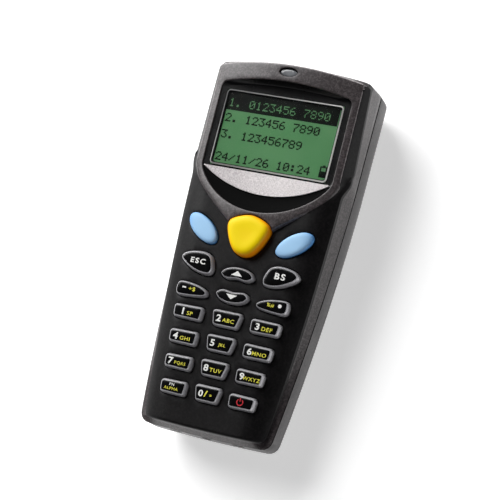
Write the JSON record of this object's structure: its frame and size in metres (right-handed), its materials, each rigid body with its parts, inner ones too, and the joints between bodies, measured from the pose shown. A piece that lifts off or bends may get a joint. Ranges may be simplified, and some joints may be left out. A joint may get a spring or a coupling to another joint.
{
  "type": "portable barcode data terminal",
  "caption": "Handheld data terminal with a display head, rubber keypad, sliding battery cover and a laser scan engine behind a window in its top end.",
  "frame": {"origin": "under the middle of the case, on the surface that it lies on", "axes": "+X to the right of the keypad, +Y towards the display head and scan window, +Z out of the front face"},
  "size_m": [0.056, 0.122, 0.032],
  "materials": {
    "front_cover": "moulded ABS with fine satin texture, near black",
    "rear_cover": "moulded ABS with fine satin texture, dark charcoal",
    "battery_cover": "moulded ABS with fine satin texture",
    "housing_seal": "moulded silicone gasket",
    "display_bezel": "gloss black moulding",
    "display_window": "clear polycarbonate with polished bevel",
    "name_plate": "silver satin plate, bare",
    "lcd_glass": "green reflective display glass",
    "lcd_frame": "folded steel frame",
    "backlight_panel": "milky light guide",
    "lcd_flex": "polyimide flat cable",
    "status_lens": "smoked grey light pipe",
    "status_led": "small lamp package",
    "keypad_mat": "silicone rubber sheet",
    "key_scan": "lacquered yellow silicone",
    "key_left": "lacquered blue silicone",
    "key_right": "lacquered blue silicone",
    "key_esc": "grey silicone skirt with a gloss black face",
    "key_bs": "grey silicone skirt with a gloss black face",
    "key_up": "grey silicone skirt with a gloss black face",
    "key_down": "grey silicone skirt with a gloss black face",
    "key_minus": "grey silicone skirt with a gloss black face",
    "key_dot": "grey silicone skirt with a gloss black face",
    "key_1": "grey silicone skirt with a gloss black face",
    "key_2": "grey silicone skirt with a gloss black face",
    "key_3": "grey silicone skirt with a gloss black face",
    "key_4": "grey silicone skirt with a gloss black face",
    "key_5": "grey silicone skirt with a gloss black face",
    "key_6": "grey silicone skirt with a gloss black face",
    "key_7": "grey silicone skirt with a gloss black face",
    "key_8": "grey silicone skirt with a gloss black face",
    "key_9": "grey silicone skirt with a gloss black face",
    "key_fn": "grey silicone skirt with a gloss black face",
    "key_0": "grey silicone skirt with a gloss black face",
    "key_power": "grey silicone skirt with a gloss black face",
    "main_board": "green solder mask on glass epoxy",
    "board_chips": "moulded chip packages",
    "board_screws": "zinc plated steel",
    "buzzer": "black moulded case",
    "backup_cell": "nickel plated can",
    "backup_cell_clip": "plated spring brass",
    "scan_window": "deep red filter window",
    "scan_chassis": "die cast frame, dark",
    "scan_mirror": "front silvered glass on a moulded hub",
    "mirror_coil": "enamelled copper wire",
    "laser_module": "turned brass barrel",
    "light_sensor": "black package with a lens",
    "scan_flex": "polyimide flat cable",
    "battery_cells": "sleeved AAA cells, bare of print",
    "battery_contacts": "nickel plated spring steel",
    "battery_springs": "nickel plated spring wire",
    "charge_contacts": "gold plated pads",
    "ir_window": "infrared filter, deep red",
    "case_screws": "zinc plated steel"
  },
  "bodies": {
    "case": {"front_cover": "front_cover", "rear_cover": "rear_cover", "housing_seal": "housing_seal", "display_bezel": "display_bezel", "display_window": "display_window", "name_plate": "name_plate", "lcd_glass": "lcd_glass", "lcd_frame": "lcd_frame", "backlight_panel": "backlight_panel", "lcd_flex": "lcd_flex", "status_lens": "status_lens", "status_led": "status_led", "keypad_mat": "keypad_mat", "main_board": "main_board", "board_chips": "board_chips", "board_screws": "board_screws", "buzzer": "buzzer", "backup_cell": "backup_cell", "backup_cell_clip": "backup_cell_clip", "scan_window": "scan_window", "scan_chassis": "scan_chassis", "mirror_coil": "mirror_coil", "laser_module": "laser_module", "light_sensor": "light_sensor", "scan_flex": "scan_flex", "battery_cells": "battery_cells", "battery_contacts": "battery_contacts", "battery_springs": "battery_springs", "charge_contacts": "charge_contacts", "ir_window": "ir_window", "case_screws": "case_screws"},
    "key_scan": {"key_scan": "key_scan"},
    "key_left": {"key_left": "key_left"},
    "key_right": {"key_right": "key_right"},
    "key_esc": {"key_esc": "key_esc"},
    "key_bs": {"key_bs": "key_bs"},
    "key_up": {"key_up": "key_up"},
    "key_down": {"key_down": "key_down"},
    "key_minus": {"key_minus": "key_minus"},
    "key_dot": {"key_dot": "key_dot"},
    "key_1": {"key_1": "key_1"},
    "key_2": {"key_2": "key_2"},
    "key_3": {"key_3": "key_3"},
    "key_4": {"key_4": "key_4"},
    "key_5": {"key_5": "key_5"},
    "key_6": {"key_6": "key_6"},
    "key_7": {"key_7": "key_7"},
    "key_8": {"key_8": "key_8"},
    "key_9": {"key_9": "key_9"},
    "key_fn": {"key_fn": "key_fn"},
    "key_0": {"key_0": "key_0"},
    "key_power": {"key_power": "key_power"},
    "battery_cover": {"battery_cover": "battery_cover"},
    "scan_mirror": {"scan_mirror": "scan_mirror"}
  },
  "joints": [
    {"name": "key_scan_press", "type": "slide", "parent": "case", "child": "key_scan", "axis": [0, 0.0698, -0.9976], "range_m": [0, 0.0008], "stiffness_N_per_m": 500},
    {"name": "key_left_press", "type": "slide", "parent": "case", "child": "key_left", "axis": [0, 0.0698, -0.9976], "range_m": [0, 0.0008], "stiffness_N_per_m": 500},
    {"name": "key_right_press", "type": "slide", "parent": "case", "child": "key_right", "axis": [0, 0.0698, -0.9976], "range_m": [0, 0.0008], "stiffness_N_per_m": 500},
    {"name": "key_esc_press", "type": "slide", "parent": "case", "child": "key_esc", "axis": [0, 0.0698, -0.9976], "range_m": [0, 0.0008], "stiffness_N_per_m": 500},
    {"name": "key_bs_press", "type": "slide", "parent": "case", "child": "key_bs", "axis": [0, 0.0698, -0.9976], "range_m": [0, 0.0008], "stiffness_N_per_m": 500},
    {"name": "key_up_press", "type": "slide", "parent": "case", "child": "key_up", "axis": [0, 0.0698, -0.9976], "range_m": [0, 0.0008], "stiffness_N_per_m": 500},
    {"name": "key_down_press", "type": "slide", "parent": "case", "child": "key_down", "axis": [0, 0.0698, -0.9976], "range_m": [0, 0.0008], "stiffness_N_per_m": 500},
    {"name": "key_minus_press", "type": "slide", "parent": "case", "child": "key_minus", "axis": [0, 0.0698, -0.9976], "range_m": [0, 0.0008], "stiffness_N_per_m": 500},
    {"name": "key_dot_press", "type": "slide", "parent": "case", "child": "key_dot", "axis": [0, 0.0698, -0.9976], "range_m": [0, 0.0008], "stiffness_N_per_m": 500},
    {"name": "key_1_press", "type": "slide", "parent": "case", "child": "key_1", "axis": [0, 0.0698, -0.9976], "range_m": [0, 0.0008], "stiffness_N_per_m": 500},
    {"name": "key_2_press", "type": "slide", "parent": "case", "child": "key_2", "axis": [0, 0.0698, -0.9976], "range_m": [0, 0.0008], "stiffness_N_per_m": 500},
    {"name": "key_3_press", "type": "slide", "parent": "case", "child": "key_3", "axis": [0, 0.0698, -0.9976], "range_m": [0, 0.0008], "stiffness_N_per_m": 500},
    {"name": "key_4_press", "type": "slide", "parent": "case", "child": "key_4", "axis": [0, 0.0698, -0.9976], "range_m": [0, 0.0008], "stiffness_N_per_m": 500},
    {"name": "key_5_press", "type": "slide", "parent": "case", "child": "key_5", "axis": [0, 0.0698, -0.9976], "range_m": [0, 0.0008], "stiffness_N_per_m": 500},
    {"name": "key_6_press", "type": "slide", "parent": "case", "child": "key_6", "axis": [0, 0.0698, -0.9976], "range_m": [0, 0.0008], "stiffness_N_per_m": 500},
    {"name": "key_7_press", "type": "slide", "parent": "case", "child": "key_7", "axis": [0, 0.0698, -0.9976], "range_m": [0, 0.0008], "stiffness_N_per_m": 500},
    {"name": "key_8_press", "type": "slide", "parent": "case", "child": "key_8", "axis": [0, 0.0698, -0.9976], "range_m": [0, 0.0008], "stiffness_N_per_m": 500},
    {"name": "key_9_press", "type": "slide", "parent": "case", "child": "key_9", "axis": [0, 0.0698, -0.9976], "range_m": [0, 0.0008], "stiffness_N_per_m": 500},
    {"name": "key_fn_press", "type": "slide", "parent": "case", "child": "key_fn", "axis": [0, 0.0698, -0.9976], "range_m": [0, 0.0008], "stiffness_N_per_m": 500},
    {"name": "key_0_press", "type": "slide", "parent": "case", "child": "key_0", "axis": [0, 0.0698, -0.9976], "range_m": [0, 0.0008], "stiffness_N_per_m": 500},
    {"name": "key_power_press", "type": "slide", "parent": "case", "child": "key_power", "axis": [0, 0.0698, -0.9976], "range_m": [0, 0.0008], "stiffness_N_per_m": 500},
    {"name": "battery_cover_slide", "type": "slide", "parent": "case", "child": "battery_cover", "axis": [0, -1, 0], "range_m": [0, 0.064]},
    {"name": "scan_mirror_swing", "type": "hinge", "parent": "case", "child": "scan_mirror", "pos_m": [-0.0045, 0.044, 0.009], "axis": [0, 0, 1], "range_deg": [-12, 12], "stiffness_Nm_per_rad": 0.0005}
  ]
}
